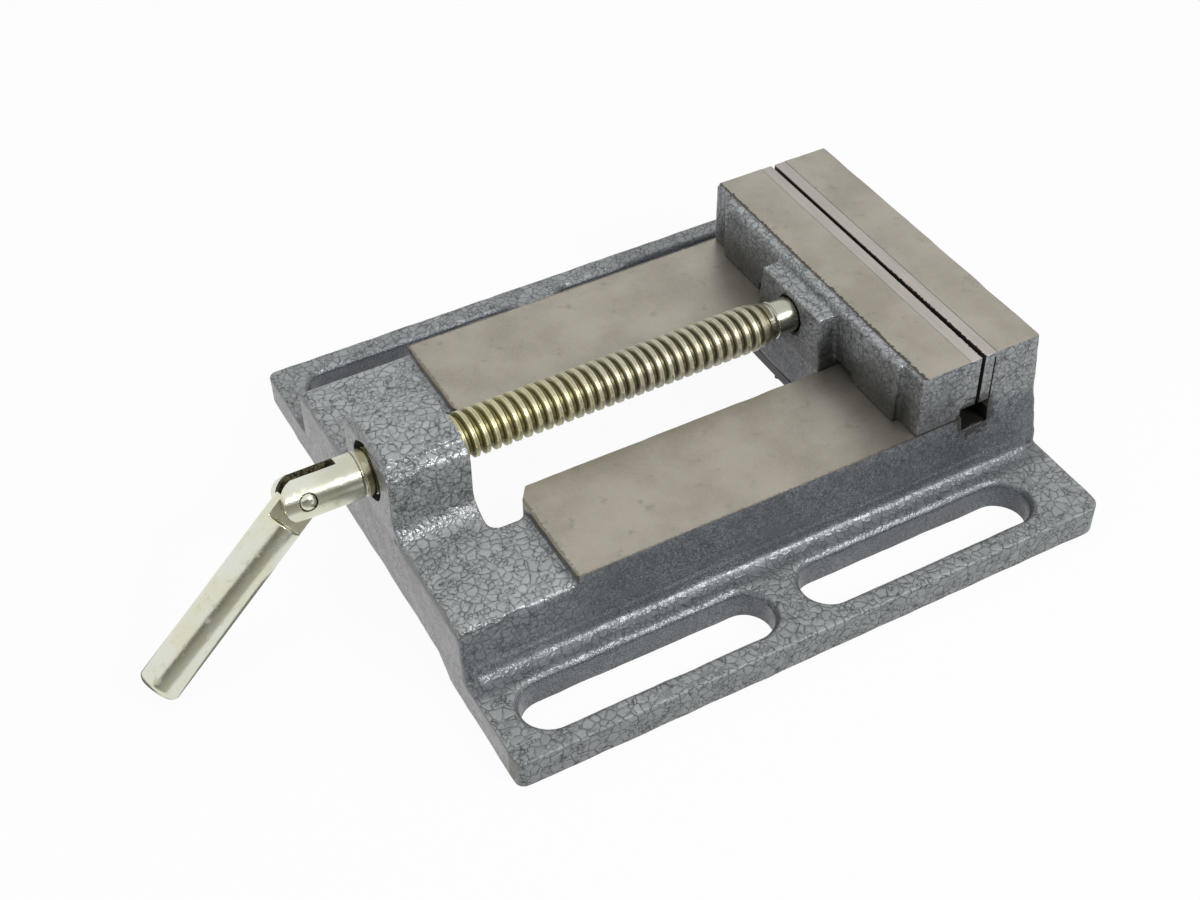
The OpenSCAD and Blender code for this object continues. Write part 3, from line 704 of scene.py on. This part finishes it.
def sliding_jaw():
    """The sliding jaw's casting, with its top and its face machined and its blind bore cut."""
    stock = (("+Z", JAW_TOP, 0.6), ("+X", JAW_FRONT, 1.2))
    piece = cast("moving_jaw", "sliding_jaw_casting", stock, top_ledge)
    cut(piece, block((JAW_REAR - 20, -PAST_JAWS, JAW_TOP), (AWAY, PAST_JAWS, ABOVE)))
    cut(piece, block((JAW_FRONT, -PAST_JAWS, RAIL_TOP + 2), (AWAY, PAST_JAWS, ABOVE)))
    cut(piece, bore(NOSE_AT - 2, 58, NOSE + 0.12))
    cut(piece, bore(NOSE_AT - 2, NOSE_AT + 2.2, SHOWN_NOSE + 0.5))

    def finish_at(at, out):
        if out.z > 0.995 and at.z > JAW_TOP - TOUCH or out.x > 0.995 and at.x > JAW_FRONT - TOUCH:
            return IRON
        in_bore = at.x > NOSE_AT - 0.3 and off_screw(at) < SHOWN_NOSE + 0.55
        below = at.x > JAW_REAR + 0.6 and at.z < RAIL_TOP + 2.6 and out.z < -0.3
        # The blind bore and the underside by the ways take the grime finish, painted shade over oil
        return GRIME_AND_SHADE if in_bore or below else PAINT

    dress(piece, (PAINT, IRON, GRIME_AND_SHADE), finish_at)
    hand_over(piece, "sliding_jaw", "moving_jaw")


def jaw_plate(node, name, body):
    """A ground plate with broken edges, its ends painted over, and a cut behind the fixed one's ends, painted
    black as its shade.
    """
    piece = rough_copy(node, name)
    work(piece, "BEVEL", width=0.18 * MM, segments=2, limit_method="ANGLE", angle_limit=radians(50))
    if body == "base":
        cut_both_sides(piece, (SEAM_AT, KERF_FROM, 20), (FIXED_FRONT + 1, PAST_JAWS, KERF_TOP))

    def finish_at(at, out):
        # The cut behind the fixed plate's ends takes the grime finish, painted black as its shade
        if at.x > SEAM_AT - TOUCH and abs(at.y) > KERF_FROM - 0.1 and at.z < KERF_TOP + 0.1:
            return GRIME_AND_SHADE
        return PAINT if abs(out.y) > 0.9 and abs(at.y) > JAW_HALF - 0.1 else STEEL

    dress(piece, (STEEL, PAINT, GRIME_AND_SHADE), finish_at)
    hand_over(piece, body, node)


# Lead screw, handle and fasteners


def rolled_thread():
    """A right-hand trapezoidal thread with rounded crests, run out as a cone before the nose."""
    rib = [(THREAD_ROOT, 0), (THREAD_ROOT, 0.38), (5.55, 0.52), (6.15, 0.76), (6.38, 0.88), (6.49, 1.02),
           (CREST, 1.14), (6.43, 1.32), (6.42, 1.70), (CREST, 1.92), (6.48, 2.06), (6.36, 2.20), (6.1, 2.34),
           (5.5, 2.58), (THREAD_ROOT, 2.74), (THREAD_ROOT, PITCH)]
    long, lead_in = THREAD_END - THREAD_START, PITCH + 0.5
    piece = trace("lead_screw_turned", rib)
    work(piece, "SCREW", steps=56, render_steps=56, iterations=44, screw_offset=PITCH * MM,
         use_merge_vertices=True, merge_threshold=HAIR)
    merge(piece)

    # Saw both ends off square
    for place, way in ((lead_in, -1), (lead_in + long, 1)):
        bpy.ops.object.mode_set(mode="EDIT")
        bpy.ops.mesh.select_all(action="SELECT")
        bpy.ops.mesh.bisect(plane_co=(0, 0, place * MM), plane_no=(0, 0, way), use_fill=True, clear_outer=True,
                            threshold=1e-7)
        bpy.ops.object.mode_set(mode="OBJECT")
    lay(piece, shifted(0, 0, -lead_in))

    # Turn the crests down over the last turns
    skin = turned("screw_skin", [
        (0, -1), (CREST + 0.2, -1), (CREST + 0.2, long - 7.5), (CREST - 0.25, long - 6),
        (THREAD_ROOT + 0.12, long - 1.3), (SHOWN_NOSE + 0.1, long - 0.4), (SHOWN_NOSE + 0.1, long + 1),
        (0, long + 1)])
    cut(piece, skin, "INTERSECT")
    lay(piece, shifted(THREAD_START, 0, SCREW_HIGH) @ ALONG_X)

    # The core under the thread, a thin ring ridge at its end, and the nose with its groove for the stop pin
    end, groove_start, groove_end, groove_root, tip = THREAD_END, 46.4, 49.0, 3.1, 55.7
    core = turned("screw_core", [
        (0, PIN_AT + 12), (ROOT - 0.1, PIN_AT + 12), (ROOT - 0.1, end - 3.4), (THREAD_ROOT + 0.22, end - 2.4),
        (THREAD_ROOT + 0.16, end - 1.2), (SHOWN_NOSE + 0.04, end - 0.5), (SHOWN_NOSE + 0.04, end - 0.25),
        (SHOWN_NOSE + 0.3, end - 0.1), (SHOWN_NOSE + 0.3, end + 0.15), (SHOWN_NOSE + 0.02, end + 0.3),
        (SHOWN_NOSE, end + 0.45), (SHOWN_NOSE, end + 0.6), (SHOWN_NOSE, NOSE_AT + 1.5), (NOSE, NOSE_AT + 1.9),
        (NOSE, groove_start), (groove_root, groove_start), (groove_root, groove_end), (NOSE, groove_end),
        (NOSE, tip - 0.5), (NOSE - 0.6, tip), (0, tip)])
    lay(core, ON_SCREW @ ALONG_X)
    return cut(piece, core, "UNION")


def fork():
    """The smooth neck with its collar ring and its slotted fork, plated soft."""
    ring = 14.4
    piece = turned("fork", [
        (0, -NECK), (NECK, -NECK), (NECK, ring), (NECK - 0.45, ring + 0.4), (NECK - 0.45, ring + 0.8),
        (NECK + 0.1, ring + 1.2), (NECK + 0.1, ring + 3.2), (NECK - 0.4, ring + 3.7), (0, ring + 3.7)])
    lay(piece, ALONG_X)
    round_end = cut(rod(NECK), block((0, -REACH, -REACH), (2 * REACH, REACH, REACH)), "UNION")
    cut(piece, round_end, "INTERSECT")
    cut(piece, block((-REACH, -FORK_SLOT / 2, -REACH), (FORK_DEPTH, FORK_SLOT / 2, REACH)))
    cut(piece, rod(PIN + 0.14, 64))
    soften(piece, 0.16, 5)
    work(piece, "DECIMATE", ratio=0.4)
    return lay(piece, FORK)


def lead_screw():
    """The thread and the fork as one piece: gold on the thread, bright on the fork and the nose."""
    piece = cut(rolled_thread(), fork(), "UNION")
    to_fork = FORK.inverted()

    def finish_at(at, out):
        if at.x > BRIGHT_FROM:
            return BRIGHT
        if at.x > BASE_FRONT + 0.3:
            return YELLOW
        spot, way = to_fork @ (at * MM) / MM, to_fork.to_3x3() @ out
        in_slot = abs(spot.y) < FORK_SLOT / 2 + 0.15 and spot.x < FORK_DEPTH + 0.2
        # The fork's slot takes the grime finish: old grime, darkened as painted shade
        return GRIME_AND_SHADE if in_slot and (abs(way.y) > 0.6 or spot.x > 3.5) else BRIGHT

    dress(piece, (YELLOW, BRIGHT, GRIME_AND_SHADE), finish_at, 40)
    hand_over(piece, "screw", "lead_screw")


def handle_bar():
    """A round bar with a chamfered end and a flat tang that swings between the fork's cheeks."""
    piece = turned("folding_bar", [(0, -BAR), (BAR, -BAR), (BAR, BAR_LONG - 1.3), (BAR - 0.3, BAR_LONG - 0.7),
                                   (BAR - 1.2, BAR_LONG), (0, BAR_LONG)])
    lay(piece, Matrix.Rotation(-pi / 2, 4, "Y"))
    round_end = cut(rod(TANG_ROUND), block((-80, -REACH, -REACH), (-2.5, REACH, REACH)), "UNION")
    cut(piece, round_end, "INTERSECT")
    cut_both_sides(piece, (-SHOULDER, TANG / 2, -REACH), (REACH, REACH, REACH))
    soften(piece, 0.22, 5)
    # The tang's sides inside the fork take the grime finish, darkened as painted shade
    dress(piece, (BRIGHT, GRIME_AND_SHADE), lambda at, out: GRIME_AND_SHADE if at.x > -2.2 and abs(out.y) < 0.8 else BRIGHT, 50)
    lay(piece, FORK @ Matrix.Rotation(-HANDLE_DROP, 4, "Y"))
    hand_over(piece, "handle", "handle_bar")


def handle_pin():
    """The riveted pin, domed at both ends."""
    end = NECK + 0.3
    dome = [(0, end), (1.0, end - 0.06), (PIN - 0.35, end - 0.45), (PIN, end - 1.0)]
    piece = turned("hinge_pin", dome + [(radius, -place) for radius, place in reversed(dome)], 48)
    lay(piece, Matrix.Rotation(pi / 2, 4, "X"))
    lay(piece, FORK)
    dress(piece, (BRIGHT,), lambda at, out: BRIGHT, 60)
    hand_over(piece, "screw", "handle_pin")


def fasteners():
    """The drawn screws, bolts, washers and keeper, with their edges broken."""
    for node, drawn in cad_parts.items():
        if drawn.hide_render:
            continue
        drawn.data.materials.clear()
        drawn.data.materials.append(BRIGHT if "washer" in node else BLACK)
        weld = drawn.modifiers.new("Weld", "WELD")
        weld.merge_threshold = HAIR
        edge = drawn.modifiers.new("Bevel", "BEVEL")
        edge.width, edge.segments = 0.15 * MM, 2
        edge.limit_method, edge.angle_limit = "ANGLE", radians(40)


base_casting()
sliding_jaw()
jaw_plate("fixed_jaw_plate", "fixed_jaw_face", "base")
jaw_plate("moving_jaw_plate", "sliding_jaw_face", "sliding_jaw")
lead_screw()
handle_bar()
handle_pin()
fasteners()


# Bench top, light and camera


def bench_top():
    """A plain white sheet under the vise, which takes its shadow."""
    bpy.ops.mesh.primitive_plane_add(size=3, location=(0, 0, -0.0002))
    sheet = bpy.context.object
    sheet.name = "white_sheet"
    paper = Finish("white_paper", Base_Color=(0.55, 0.55, 0.55, 1), Roughness=0.9)
    matt = Reading(paper, paper.shader.outputs[0])
    white = paper.add("Emission", values={"Color": (1, 1, 1, 1), "Strength": 1.0})
    shown = paper.add("MixShader", values={0: paper.plainly_seen() * 0.95, 1: matt, 2: white})
    paper.tree.links.new(shown.socket, paper.tree.nodes["Material Output"].inputs["Surface"])
    sheet.data.materials.append(paper.material)
    bpy.ops.object.transform_apply()


def grey_card(name, low, high, foot, head=None):
    """A grey card out of the picture, seen only in the metal, which may be shaded from foot to head."""
    card = block(low, high)
    card.name = name
    matt = Finish(name, Base_Color=(0, 0, 0, 1), Specular_IOR_Level=0, Emission_Strength=1)
    upward = matt.rise(matt.part(matt.place(), "Z"), low[2], high[2])
    card.data.materials.append(matt.feed(Emission_Color=matt.mix(upward, foot, head or foot)))
    card.visible_camera = card.visible_diffuse = card.visible_shadow = False


def soft_box(name, towards, distance, size, power, mirrored=True):
    """A square soft box that looks at the vise from a direction."""
    light = bpy.data.lights.new(name, "AREA")
    light.shape, light.size, light.size_y, light.energy = "RECTANGLE", size, size, power
    lamp = bpy.data.objects.new(name, light)
    bpy.context.scene.collection.objects.link(lamp)
    towards = Vector(towards).normalized()
    lamp.location = towards * distance
    lamp.rotation_euler = towards.to_track_quat("Z", "Y").to_euler()
    lamp.visible_glossy = mirrored


def room():
    """A plain room: white where it is seen or mirrored, dimmer as a light."""
    world = bpy.data.worlds.new("room")
    bpy.context.scene.world = world
    world.use_nodes = True
    air = Nodes(world.node_tree)
    shown = air.mix(air.plainly_seen(), (ROOM_LIGHT, ROOM_LIGHT, ROOM_LIGHT), (1, 1, 1))
    world.node_tree.links.new(shown.socket, world.node_tree.nodes["Background"].inputs["Color"])


def camera():
    """The camera at the place and angle from which the vise was seen, for a 1200 by 900 picture."""
    azimuth, rise, roll = radians(-28), radians(43.30), radians(-1.167)
    back = Vector((sin(azimuth) * cos(rise), -cos(azimuth) * cos(rise), sin(rise)))
    right = Vector((cos(azimuth), sin(azimuth), 0))
    up = back.cross(right)
    across, upward = cos(roll) * right + sin(roll) * up, cos(roll) * up - sin(roll) * right
    view = bpy.data.cameras.new("camera")
    view.lens, view.sensor_width, view.clip_start = 53.54, 36, 0.01
    stand = bpy.data.objects.new("camera", view)
    bpy.context.scene.collection.objects.link(stand)
    turn = Matrix((across, upward, back)).transposed().to_4x4()
    stand.matrix_world = Matrix.Translation((-0.1830, -0.3113, 0.3456)) @ turn
    bpy.context.scene.camera = stand


bench_top()
grey_card("near_card", (-800, -905, 0), (800, -900, 410), (0.19, 0.175, 0.15))
grey_card("handle_card", (-260, -77, 0), (-72, -75, 88), (0.50, 0.49, 0.45), (0.12, 0.105, 0.08))
grey_card("floor_card", (-200, -16, 0.2), (-104, 12, 0.4), (0.22, 0.21, 0.19))
soft_box("overhead", (-0.1, 0.1, 1), 0.9, 0.9, 3.9, mirrored=False)
soft_box("near_right", (0.34, -0.66, 0.61), 0.9, 0.23, 4.8)
soft_box("left", (-1, -0.2, 0.5), 1.0, 0.5, 2.0, mirrored=False)
room()
camera()
bpy.context.scene.view_settings.view_transform = "Standard"
